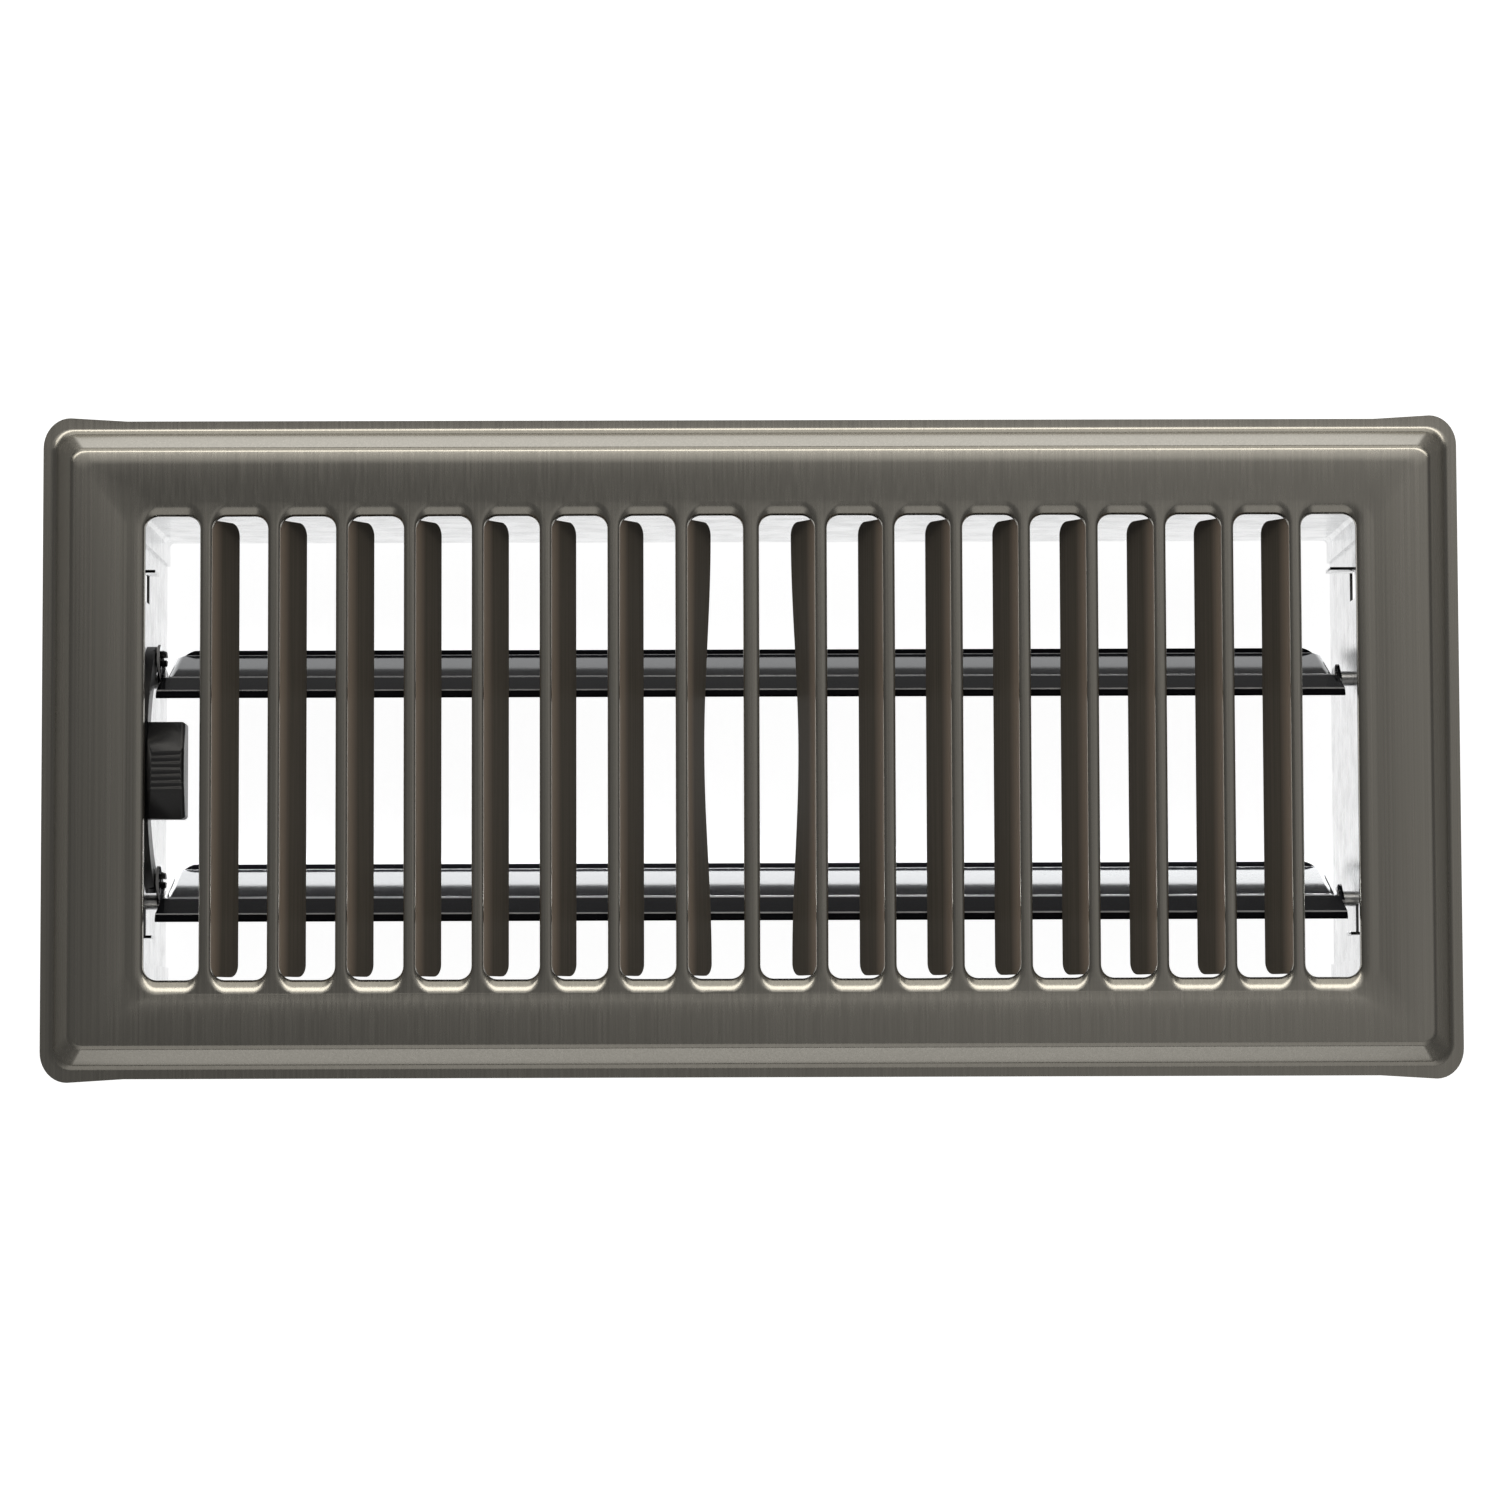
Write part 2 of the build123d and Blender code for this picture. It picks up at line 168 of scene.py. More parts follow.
class FinSettings(bpy.types.PropertyGroup):
    """Sizes of the fins under the slots."""

    drop: length("Drop", "How far the fins reach below the face's top", 9.91)
    lean: angle("Lean", "Lean of a fin from upright", 31)
    bend: length("Bend", "Radius between a slot's collar and its fin", 2.5)
    end_gap: length("End gap", "Gap between a fin's end and the slot's end", 0.7)
    corner: length("Corner", "Radius of a fin's lower corners", 2.6)
    bow: length("Bow", "How far the free edges of the two middle fins are bowed", 1.4)


class BladeSettings(bpy.types.PropertyGroup):
    """Where pale paint on the blades makes painted highlights."""

    lean: angle("Lean", "Lean of the open blades from upright", 16.5)
    # The pale crease and the pale bends are painted highlights.
    crease: length("Crease", "From the pivot up to the worn crease beside the joggle", 1.3)
    crease_width: length("Crease width", "Width of the worn crease", 1.2)
    bend_width: length("Bend width", "Bends narrower than this are worn", 1.2)


class RivetSettings(bpy.types.PropertyGroup):
    """Sizes and places of the pivot rivets."""

    wall_out: length("Wall outside", "Outside of an end wall, from the middle of the face", 125.9)
    wall_in: length("Wall inside", "Inside of an end wall, from the middle of the face", 125.3)
    shoulder_end: length("Shoulder end", "Inner end of a rivet's shoulder, from the same middle", 121.8)
    head: length("Head", "Thickness of a head", 0.6)
    head_radius: length("Head radius", "Radius of a head", 2.5)
    shank_radius: length("Shank radius", "Radius in the wall", 1.2)
    shoulder_radius: length("Shoulder radius", "Radius in the blade's ear", 1.6)


class FinishSettings(bpy.types.PropertyGroup):
    """Colours and polish of the finishes."""

    face_colour: colour("Face", "Brushed plating of the face", (0.44, 0.42, 0.375))
    face_polish: share("Face roughness", "Roughness of the brushed face", 0.26)
    # The fins' coat colour also paints the shade in the slots' throats.
    fin_colour: colour("Fins", "Dull brown coat of the fins and the slots' throats", (0.098, 0.086, 0.07))
    # Painted light on the fins' upper parts beside their hinges.
    hinge_light_colour: colour("Hinges", "Thin warm coat beside the fins' hinges", (0.36, 0.285, 0.225))
    box_colour: colour("Box", "Zinc plating of the damper box", (0.78, 0.785, 0.79))
    blade_colour: colour("Blades", "Black paint of the blades", (0.007, 0.007, 0.0085))
    lever_colour: colour("Lever", "Black plastic of the lever", (0.014, 0.014, 0.015))
    rivet_colour: colour("Rivets", "Plain steel of the rivets", (0.62, 0.62, 0.62))


class StageSettings(bpy.types.PropertyGroup):
    """Camera, floor and lights."""

    distance: length("Camera distance", "From the camera to the middle of the face's top", 1000.0)
    front_tilt: angle("Front tilt", "How far the camera stands to the front", 3.9)
    left_tilt: angle("Left tilt", "How far the camera stands to the left", 0.4)
    roll: angle("Roll", "Camera's roll", -0.18)
    lens: FloatProperty(name="Lens", description="Focal length in millimetres", default=118.4)
    aim_left: length("Aim left", "How far left of the face's middle the camera aims", 0.35)
    aim_front: length("Aim front", "How far in front of the face's middle the camera aims", 0.9)
    floor_colour: colour("Floor", "Colour of the plain floor", (0.42, 0.42, 0.42))
    floor_glow: FloatProperty(
        name="Floor glow", description="Light that the lit floor gives off", default=0.95
    )
    lit_side: length("Lit side", "How far to the left and right the floor is fully lit", 168.0)
    dark_side: length("Dark side", "How far to the left and right the floor's glow ends", 250.0)
    lit_rear: length("Lit rear", "How far to the rear the floor is fully lit", 260.0)
    dark_rear: length("Dark rear", "How far to the rear the floor's glow ends", 600.0)
    lit_front: length("Lit front", "How far to the front the floor is fully lit", 200.0)
    dark_front: length("Dark front", "How far to the front the floor's glow ends", 540.0)
    rear_light: power("Rear light", "Power of the high light at the rear", 5.5)
    fill_light: power("Fill light", "Power of the dim panel between the rear light and the top", 0.68)
    back_light: power("Back light", "Power of the low panel at the rear", 3.6)
    front_light: power("Front light", "Power of the tall panel at the front", 1.7)
    right_light: power("Right light", "Power of the panel above on the right", 1.0)
    top_light: power("Top light", "Power of the large panel above", 0.3)
    rear_strip: power("Rear strip", "Power of the strip below the rear blade", 0.0267)
    front_strip: power("Front strip", "Power of the strip below the front blade", 0.218)
    room_light: FloatProperty(name="Room light", description="Strength of the room's light", default=0.11)


def join(tree, value, socket):
    """Links an input to a socket, or sets it to a plain value."""
    if isinstance(value, bpy.types.NodeSocket):
        tree.links.new(value, socket)
    else:
        socket.default_value = value


def fill(tree, node, **values):
    """Joins values to a node's inputs by name."""
    for name, value in values.items():
        join(tree, value, node.inputs[name.replace("_", " ")])


def add_node(tree, kind, **values):
    """Adds a node and fills its inputs."""
    node = tree.nodes.new(kind)
    fill(tree, node, **values)
    return node


def new_material(name):
    """A material with its Principled shader and the object's coordinates."""
    material = bpy.data.materials.new(name)
    material.use_nodes = True
    shader = material.node_tree.nodes["Principled BSDF"]
    place = material.node_tree.nodes.new("ShaderNodeTexCoord").outputs["Object"]
    return material, material.node_tree, shader, place


def remap(tree, value, low, high, at_low, at_high, kind="LINEAR"):
    """A value carried over from one range to another, and held at its ends."""
    node = add_node(
        tree, "ShaderNodeMapRange",
        Value=value, From_Min=low, From_Max=high, To_Min=at_low, To_Max=at_high,
    )
    node.interpolation_type = kind
    return node.outputs["Result"]


def grain(tree, place, scale, detail):
    """Noise stretched by a scale along each axis."""
    stretched = add_node(tree, "ShaderNodeMapping", Vector=place, Scale=scale).outputs["Vector"]
    noise = add_node(tree, "ShaderNodeTexNoise", Vector=stretched, Scale=1.0, Detail=detail)
    return noise.outputs["Fac"]


def spread(tree, noise, low, high):
    """A noise, most of which lies from 0.3 to 0.7, spread between two numbers."""
    return remap(tree, noise, 0.3, 0.7, low, high)


def attribute(tree, name):
    """Values of an attribute of the mesh."""
    node = tree.nodes.new("ShaderNodeAttribute")
    node.attribute_name = name
    return node.outputs["Fac"]


def mix(tree, factor, first, second):
    """A colour between two by a factor. Each is a socket, or plain red, green and blue."""
    node = tree.nodes.new("ShaderNodeMix")
    node.data_type = "RGBA"
    tree.links.new(factor, node.inputs["Factor"])
    for name, value in (("A", first), ("B", second)):
        plain = not isinstance(value, bpy.types.NodeSocket)
        join(tree, (*value, 1.0) if plain else value, node.inputs[name])
    return node.outputs["Result"]


def scaled(rgb, by):
    """A colour made darker or lighter."""
    return tuple(min(1.0, part * by) for part in rgb)


def mottled(tree, noise, rgb, dark, light):
    """A colour that wavers with a noise between a darker and a lighter tone."""
    return mix(tree, spread(tree, noise, 0.0, 1.0), scaled(rgb, dark), scaled(rgb, light))


def relief(tree, height, strength, depth):
    """Normals of a surface with bumps."""
    bump = add_node(tree, "ShaderNodeBump", Height=height, Strength=strength, Distance=depth)
    return bump.outputs["Normal"]


def brushed_plating(name, rgb, throat_rgb, roughness):
    """Plated steel, brushed along Y. The slots' throats take the fins' dull dark coat, which reaches up
    the rolls as painted shade, so they stay dark and stop reflecting.
    """
    material, tree, shader, place = new_material(name)
    streaks = grain(tree, place, scale=(2600.0, 10.0, 2600.0), detail=3.0)
    tone = mottled(tree, streaks, rgb, dark=0.92, light=1.08)
    # Dark coat and painted shade in the slots' throats: there the plating turns to the fins' dull coat
    # and stops being metal.
    coat_and_shade = remap(
        tree, attribute(tree, "throat"), low=0.93, high=1.0, at_low=0.0, at_high=1.0, kind="SMOOTHSTEP"
    )
    waver = 0.02
    brushed = tree.nodes.new("ShaderNodeTangent")
    brushed.direction_type = "UV_MAP"
    brushed.uv_map = "brush"
    fill(
        tree, shader,
        Base_Color=mix(tree, coat_and_shade, tone, throat_rgb),
        Metallic=remap(tree, coat_and_shade, low=0.0, high=1.0, at_low=1.0, at_high=0.0),
        Roughness=spread(tree, streaks, roughness - waver, roughness + waver),
        Normal=relief(tree, streaks, strength=0.006, depth=0.00002),
        Tangent=brushed.outputs["Tangent"],
        Anisotropic=0.75,
        IOR=1.1,
    )
    return material


def dull_coat(name, rgb, hinge_light_rgb, low, high):
    """Dull dark coat on the fins, with lengthwise drawing lines, and painted light: paler and warmer
    upwards towards their hinges, where light falls in through the slots.
    """
    material, tree, shader, place = new_material(name)
    lines = grain(tree, place, scale=(2400.0, 22.0, 2400.0), detail=3.0)
    tone = mottled(tree, lines, rgb, dark=0.85, light=1.15)
    height = add_node(tree, "ShaderNodeSeparateXYZ", Vector=place).outputs["Z"]
    # Painted light: the fins blend from their dark coat to this paler, warmer colour towards their tops.
    hinge_light = remap(tree, height, low, high, at_low=0.0, at_high=1.0)
    fill(
        tree, shader,
        Base_Color=mix(tree, hinge_light, tone, hinge_light_rgb),
        Roughness=spread(tree, lines, 0.4, 0.55),
        Normal=relief(tree, lines, strength=0.1, depth=0.00002),
        IOR=1.12,
    )
    return material


def zinc_plating(name, rgb):
    """Bright zinc plating with a soft mottle and drawing lines. Cut edges are dark raw steel."""
    material, tree, shader, place = new_material(name)
    mottle = grain(tree, place, scale=(160.0, 160.0, 160.0), detail=4.0)
    lines = grain(tree, place, scale=(60.0, 60.0, 2400.0), detail=2.0)
    tone = mottled(tree, mottle, rgb, dark=0.84, light=1.12)
    raw_steel = (0.05, 0.05, 0.05)
    fill(
        tree, shader,
        Base_Color=mix(tree, attribute(tree, "mark"), tone, raw_steel),
        Metallic=1.0,
        Roughness=spread(tree, lines, 0.2, 0.32),
        Normal=relief(tree, lines, strength=0.06, depth=0.00002),
    )
    return material


def black_paint(name, rgb):
    """Gloss black paint with orange peel and a little dust, with painted highlights of pale paint over
    the bends and the crease.
    """
    material, tree, shader, place = new_material(name)
    peel = grain(tree, place, scale=(700.0, 700.0, 700.0), detail=2.0)
    dust = grain(tree, place, scale=(2600.0, 2600.0, 2600.0), detail=3.0)
    tone = mix(tree, spread(tree, dust, -0.6, 0.5), rgb, scaled(rgb, 2.2))
    # Painted highlights: pale colour on the marked bends and crease.
    highlighted = (0.45, 0.45, 0.46)
    fill(
        tree, shader,
        Base_Color=mix(tree, attribute(tree, "mark"), tone, highlighted),
        Roughness=spread(tree, dust, 0.06, 0.1),
        Normal=relief(tree, peel, strength=0.04, depth=0.00005),
        IOR=1.02,
    )
    return material


def moulded_plastic(name, rgb):
    """Black moulded plastic with a fine spark-eroded grain."""
    material, tree, shader, place = new_material(name)
    spark = grain(tree, place, scale=(5200.0, 5200.0, 5200.0), detail=2.0)
    fill(
        tree, shader,
        Base_Color=mottled(tree, spark, rgb, dark=0.8, light=1.5),
        Roughness=spread(tree, spark, 0.3, 0.45),
        Normal=relief(tree, spark, strength=0.2, depth=0.00003),
    )
    return material


def turned_steel(name, rgb):
    """Plain steel with fine turning marks."""
    material, tree, shader, place = new_material(name)
    marks = grain(tree, place, scale=(1800.0, 1800.0, 1800.0), detail=3.0)
    fill(
        tree, shader,
        Base_Color=mottled(tree, marks, rgb, dark=0.85, light=1.1),
        Metallic=1.0,
        Roughness=spread(tree, marks, 0.26, 0.44),
    )
    return material


def new_piece(name, mesh, material, body, slot, *nodes):
    """Puts a finished mesh in the scene in place of CAD nodes, riding on their body."""
    piece = bpy.data.objects.new(name, mesh)
    bpy.context.scene.collection.objects.link(piece)
    mesh.materials.clear()
    mesh.materials.append(material)
    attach(piece, body)
    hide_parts(*nodes)
    return piece


def finished_mesh(source, name):
    """The evaluated mesh of an object with modifiers. The object itself is removed."""
    graph = bpy.context.evaluated_depsgraph_get()
    mesh = bpy.data.meshes.new_from_object(source.evaluated_get(graph), depsgraph=graph)
    mesh.name = name
    bpy.data.objects.remove(source)
    return mesh


def smooth(mesh, degrees):
    """Smooth shading, with edges sharper than an angle kept."""
    mesh.polygons.foreach_set("use_smooth", [True] * len(mesh.polygons))
    mesh.set_sharp_from_angle(angle=radians(degrees))


def weigh_normals(piece):
    """Lets broad faces rule the shading at their edges."""
    weighted = piece.modifiers.new("Weighted normals", "WEIGHTED_NORMAL")
    weighted.keep_sharp = True


def is_narrow(face, limit):
    """True for a face that is narrower than a limit."""
    return 2 * face.calc_area() < limit * max(edge.calc_length() for edge in face.edges)


def smooth_copy(node, name, mark, *given):
    """A merged copy of a CAD node's mesh, smooth over its bends, with faces marked by a test."""
    mesh = frame["nodes"][node].data.copy()
    mesh.name = name
    work = bmesh.new()
    work.from_mesh(mesh)
    bmesh.ops.remove_doubles(work, verts=work.verts, dist=CAD_WELD)
    marks = mark(work, *given)
    work.to_mesh(mesh)
    work.free()
    mesh.attributes.new("mark", "FLOAT", "FACE").data.foreach_set("value", marks)
    smooth(mesh, CAD_SHARP)
    return mesh


def unmarked(work):
    """0 for each face."""
    return [0.0] * len(work.faces)


def pivots():
    """Places of the joints by their names."""
    return {joint["name"]: Vector(joint["pos_m"]) for joint in frame["joints"]}


def ring(centre_x, half_x, half_y, corner, grow_left, grow_right, grow_end, height, end_height):
    """A rounded rectangle, anticlockwise, whose sides have moved out by a growth each."""
    points = []
    for side_x, side_y, start in ((1, -1, -90), (1, 1, 0), (-1, 1, 90), (-1, -1, 180)):
        reach_x = corner + (grow_right if side_x > 0 else grow_left)
        reach_y = corner + grow_end
        for step in range(CORNER_STEPS + 1):
            turn = radians(start + 90 * step / CORNER_STEPS)
            x = centre_x + side_x * (half_x - corner) + reach_x * cos(turn)
            y = side_y * (half_y - corner) + reach_y * sin(turn)
            points.append(Vector((x, y, height + (end_height - height) * sin(turn) ** 2)))
    return points


def bridge(faces, first, second, count):
    """Quads between two rings of vertices, given by where each begins."""
    for i in range(count):
        j = (i + 1) % count
        faces.append((first + i, first + j, second + j, second + i))


def slot_rings(face, index, side):
    """Rings of one slot from its collar's foot up to the flat top."""
    centre = side * (face.middle_bar / 2 + face.slot_width / 2 + index * (face.slot_width + face.bar))
    inner = (face.bar if index else face.middle_bar) * ROLL_SHARE
    outer = face.outer_roll if index == face.slots_per_side - 1 else face.bar * ROLL_SHARE
    left, right = (outer, inner) if side < 0 else (inner, outer)
    sizes = (centre, face.slot_width / 2, face.slot_length / 2, face.slot_corner)
    field = face.top - face.dish
    foot = face.top - face.collar_depth
    rings = [ring(*sizes, 0, 0, 0, foot, foot)]
    for step in range(ROLL_STEPS + 1):
        turn = radians(90 * step / ROLL_STEPS)
        end_turn = face.end_turn * step / ROLL_STEPS
        out = 1 - cos(turn) ** (2 / face.crown)
        end_out = face.end_roll * (1 - cos(end_turn))
        height = field - face.roll_height * (1 - sin(turn) ** (2 / face.crown))
        end_height = field - face.end_height * (sin(face.end_turn) - sin(end_turn))
        rings.append(ring(*sizes, left * out, right * out, end_out, height, end_height))
    return rings


def throat_coat_and_shade(rings):
    """How far down its throat each point of a slot lies, for the dark coat and painted shade there: less
    at the ends, where the painted shade reaches less far.
    """
    end_share = 0.2
    coat_and_shade = []
    for number, loop in enumerate(rings):
        depth = 1 - max(0, number - 1) / (len(rings) - 2)
        for point in range(len(loop)):
            quarter = point % (CORNER_STEPS + 1) / CORNER_STEPS
            facing_end = quarter if point // (CORNER_STEPS + 1) in (1, 3) else 1 - quarter
            coat_and_shade.append(depth * (1 - end_share * sin(radians(90 * facing_end)) ** 2))
    return coat_and_shade


def rim_ring(face, half_x, half_y, corner, height, flare):
    """A ring of the face's rim, with two more points on each long edge for the flares."""
    points = ring(0, half_x, half_y, corner, 0, 0, flare, height, height)
    start = min(face.half_length - face.flare_length, half_x - corner - face.sheet)
    quarter = CORNER_STEPS + 1
    rear = [Vector((start, half_y, height)), Vector((-start, half_y, height))]
    front = [Vector((-start, -half_y, height)), Vector((start, -half_y, height))]
    return points[:2 * quarter] + rear + points[2 * quarter:] + front


def rim_profile(face):
    """Places and heights along the rim's section, from the flat top down the bevel to the lip."""
    slope = atan2(face.rise, face.bevel_run)
    lip_top = face.top - face.rise
    foot_x = face.half_length - face.lip_width
    foot_run = face.foot_bend * tan(slope / 2)
    dip = face.shoulder * (1 - cos(face.shoulder_turn))
    drop = dip + face.top_bend * (cos(face.shoulder_turn) - cos(slope))
    bevel_x = foot_x - (face.rise - drop) * face.bevel_run / face.rise
    bend_x = bevel_x - face.top_bend * (sin(slope) - sin(face.shoulder_turn))
    profile = []
    for step in range(SHOULDER_STEPS):
        turn = face.shoulder_turn * step / SHOULDER_STEPS
        reach = bend_x - face.shoulder * (sin(face.shoulder_turn) - sin(turn))
        profile.append((reach, face.top - face.shoulder * (1 - cos(turn))))
    for step in range(TOP_BEND_STEPS + 1):
        turn = face.shoulder_turn + (slope - face.shoulder_turn) * step / TOP_BEND_STEPS
        reach = bend_x + face.top_bend * (sin(turn) - sin(face.shoulder_turn))
        profile.append((reach, face.top - dip - face.top_bend * (cos(face.shoulder_turn) - cos(turn))))
    for step in range(FOOT_BEND_STEPS + 1):
        turn = slope * (1 - step / FOOT_BEND_STEPS)
        reach = foot_x + foot_run - face.foot_bend * sin(turn)
        profile.append((reach, lip_top + face.foot_bend * (1 - cos(turn))))
    return profile


def rim_rings(face):
    """Rings of the rim from the field of slots out to the lip's edge."""
    profile = rim_profile(face)
    first, last = profile[0][0], profile[-1][0]
    narrow = face.half_length - face.half_width
    lip_top = face.top - face.rise
    pitch = face.slot_width + face.bar
    slots_x = (face.middle_bar - face.bar) / 2 + face.slots_per_side * pitch - face.bar / 2
    field_x = slots_x + face.outer_roll + face.field_gap
    field_y = face.slot_length / 2 + face.end_roll * (1 - cos(face.end_turn)) + face.field_gap
    rings = []
    for step in range(FIELD_STEPS):
        out = step / FIELD_STEPS
        half_x = field_x + (first - field_x) * out
        half_y = field_y + (first - narrow - field_y) * out
        corner = face.field_corner + (face.pan_corner - face.field_corner) * out
        height = face.top - face.dish * (1 - out) ** 2
        rings.append(rim_ring(face, half_x, half_y, corner, height, 0))
    for reach, height in profile:
        corner = face.pan_corner + (face.foot_corner - face.pan_corner) * (reach - first) / (last - first)
        rings.append(rim_ring(face, reach, reach - narrow, corner, height, 0))
    lip = rim_ring(face, face.half_length, face.half_width, face.lip_corner, lip_top, face.lip_flare)
    rings.append(lip)
    return rings


def lay_rings(points, faces, rings):
    """Adds rings of points and the quads between them, and returns where the last ring begins."""
    count = len(rings[0])
    start = len(points)
    for loop in rings:
        points.extend(loop)
    for number in range(len(rings) - 1):
        bridge(faces, start + number * count, start + (number + 1) * count, count)
    return start + (len(rings) - 1) * count


def fill_flat(points, loops):
    """Triangles of the flat top between its outer loop, the first one, and the slots' loops."""
    numbers, owners, edges = [], [], []
    for owner, loop in enumerate(loops):
        start = len(numbers)
        edges += [(start + i, start + (i + 1) % len(loop)) for i in range(len(loop))]
        numbers += loop
        owners += [owner] * len(loop)
    places = [points[number].to_2d() for number in numbers]
    inside_edges = 1
    closeness = 1e-9
    filled = delaunay_2d_cdt(places, edges, [], inside_edges, closeness)
    found, sources = filled[2], filled[3]
    triangles = []
    for triangle in found:
        corners = [sources[corner][0] for corner in triangle]
        touched = {owners[corner] for corner in corners}
        if len(touched) > 1 or 0 in touched:
            triangles.append(tuple(numbers[corner] for corner in corners))
    return triangles


def face_sheet(face):
    """Upper skin of the face: rim, flat top and rolled slots, one sheet without thickness."""
    points, faces = [], []
    rim = rim_rings(face)
    lay_rings(points, faces, rim)
    flat = [list(range(len(rim[0])))]
    throat = [0.0] * len(points)
    for index in range(face.slots_per_side):
        for side in (-1, 1):
            rings = slot_rings(face, index, side)
            mouth = lay_rings(points, faces, rings)
            flat.append(list(range(mouth, len(points))))
            throat += throat_coat_and_shade(rings)
    faces += fill_flat(points, flat)
    mesh = bpy.data.meshes.new("face_sheet")
    mesh.from_pydata(points, [], faces)
    mesh.attributes.new("throat", "FLOAT", "POINT").data.foreach_set("value", throat)
    work = bmesh.new()
    work.from_mesh(mesh)
    bmesh.ops.remove_doubles(work, verts=work.verts, dist=WELD)
    bmesh.ops.recalc_face_normals(work, faces=work.faces)
    # Height shifts the brush's map a little, so that upright walls have a direction in it too
    shift_x, shift_y = 0.2, 0.3
    brush = work.loops.layers.uv.new("brush")
    for one in work.faces:
        for corner in one.loops:
            place = corner.vert.co
            corner[brush].uv = (place.x + shift_x * place.z, place.y + shift_y * place.z)
    top = max(work.faces, key=lambda one: one.calc_center_median().z)
    if top.normal.z < 0:
        bmesh.ops.reverse_faces(work, faces=work.faces)
    work.to_mesh(mesh)
    work.free()
    return mesh


def thicken(piece, sheet):
    """Gives a skin its sheet's thickness, behind it."""
    wall = piece.modifiers.new("Sheet", "SOLIDIFY")
    wall.thickness = sheet
    wall.offset = -1.0
    wall.use_even_offset = True


class REGISTER_OT_face(bpy.types.Operator):
    """Builds the stamped face with its bevelled rim and rolled slots"""

    bl_idname = "floor_register.face"
    bl_label = "Face plate"

    def execute(self, context):
        face = context.scene.register_face
        finish = context.scene.register_finish
        work = bpy.data.objects.new("face_work", face_sheet(face))
        context.scene.collection.objects.link(work)
        thicken(work, face.sheet)
        mesh = finished_mesh(work, "stamped_face")
        smooth(mesh, SHARP)
        plating = brushed_plating(
            "brushed_nickel", finish.face_colour, finish.fin_colour, finish.face_polish
        )
        weigh_normals(new_piece("stamped_face", mesh, plating, "frame", "brushed_face", "face_plate"))
        return {"FINISHED"}


def paired_row_tree():
    """Node tree that repeats a shape along a row on the left and, turned about, on the right."""
    tree = bpy.data.node_groups.new("Paired row", "GeometryNodeTree")
    for name, kind in (
        ("Shape", "NodeSocketGeometry"),
        ("Count", "NodeSocketInt"),
        ("Start", "NodeSocketVector"),
        ("Step", "NodeSocketVector"),
        ("Finish", "NodeSocketMaterial"),
    ):
        tree.interface.new_socket(name=name, in_out="INPUT", socket_type=kind)
    tree.interface.new_socket(name="Row", in_out="OUTPUT", socket_type="NodeSocketGeometry")
    given = tree.nodes.new("NodeGroupInput").outputs
    rows = tree.nodes.new("GeometryNodeJoinGeometry")
    for side, turn in ((1.0, 0.0), (-1.0, radians(180))):
        ends = []
        for name in ("Start", "Step"):
            flip = tree.nodes.new("ShaderNodeVectorMath")
            flip.operation = "MULTIPLY"
            tree.links.new(given[name], flip.inputs[0])
            flip.inputs[1].default_value = (side, 1.0, 1.0)
            ends.append(flip.outputs["Vector"])
        line = add_node(
            tree, "GeometryNodeMeshLine",
            Count=given["Count"], Start_Location=ends[0], Offset=ends[1],
        )
        copies = add_node(
            tree, "GeometryNodeInstanceOnPoints",
            Points=line.outputs["Mesh"], Instance=given["Shape"], Rotation=(0.0, 0.0, turn),
        )
        tree.links.new(copies.outputs["Instances"], rows.inputs["Geometry"])
    real = add_node(tree, "GeometryNodeRealizeInstances", Geometry=rows.outputs["Geometry"])
    dressed = add_node(
        tree, "GeometryNodeSetMaterial", Geometry=real.outputs["Geometry"], Material=given["Finish"]
    )
    result = tree.nodes.new("NodeGroupOutput")
    tree.links.new(dressed.outputs["Geometry"], result.inputs["Row"])
    return tree


def repeat(source, tree, **values):
    """Adds the row's modifier to an object and sets its inputs."""
    row = source.modifiers.new("Row", "NODES")
    row.node_group = tree
    for item in tree.interface.items_tree:
        if item.in_out == "INPUT" and item.name.lower() in values:
            row[item.identifier] = values[item.name.lower()]


def fin_skin(face, fin, bow):
    """Visible side of one fin of the left half, hinged at the origin, its free edge bowed back."""
    start = face.roll_height
    tuck = 0.6 * face.sheet
    bend_x = fin.bend * (1 - cos(fin.lean))
    bend_z = start + fin.bend * sin(fin.lean)
    bend_share = 0.1
    run = (fin.drop - bend_z) / cos(fin.lean)
    path = [(0.0, 0.0, start - tuck)]
    for step in range(FIN_BEND_STEPS + 1):
        turn = fin.lean * step / FIN_BEND_STEPS
        depth = bend_share * step / FIN_BEND_STEPS
        path.append((depth, fin.bend * (1 - cos(turn)), start + fin.bend * sin(turn)))
    for step in range(1, FIN_ROWS + 1):
        along = run * sin(radians(90 * step / FIN_ROWS))
        path.append((along / run, bend_x + along * sin(fin.lean), bend_z + along * cos(fin.lean)))
    half = face.slot_length / 2 - fin.end_gap
    points, faces = [], []
    for depth, x, z in path:
        left = (1 - depth) * run
        inset = 0.0
        if left < fin.corner:
            inset = fin.corner - (fin.corner**2 - (fin.corner - left) ** 2) ** 0.5
        for column in range(FIN_COLUMNS + 1):
            across = 2 * column / FIN_COLUMNS - 1
            bowed = bow * depth * cos(radians(90 * across)) ** 2
            points.append((x - bowed, across * (half - inset), face.top - z))
    for row in range(len(path) - 1):
        for column in range(FIN_COLUMNS):
            corner = row * (FIN_COLUMNS + 1) + column
            faces.append((corner, corner + FIN_COLUMNS + 1, corner + FIN_COLUMNS + 2, corner + 1))
    mesh = bpy.data.meshes.new("fin_skin")
    mesh.from_pydata(points, [], faces)
    return mesh


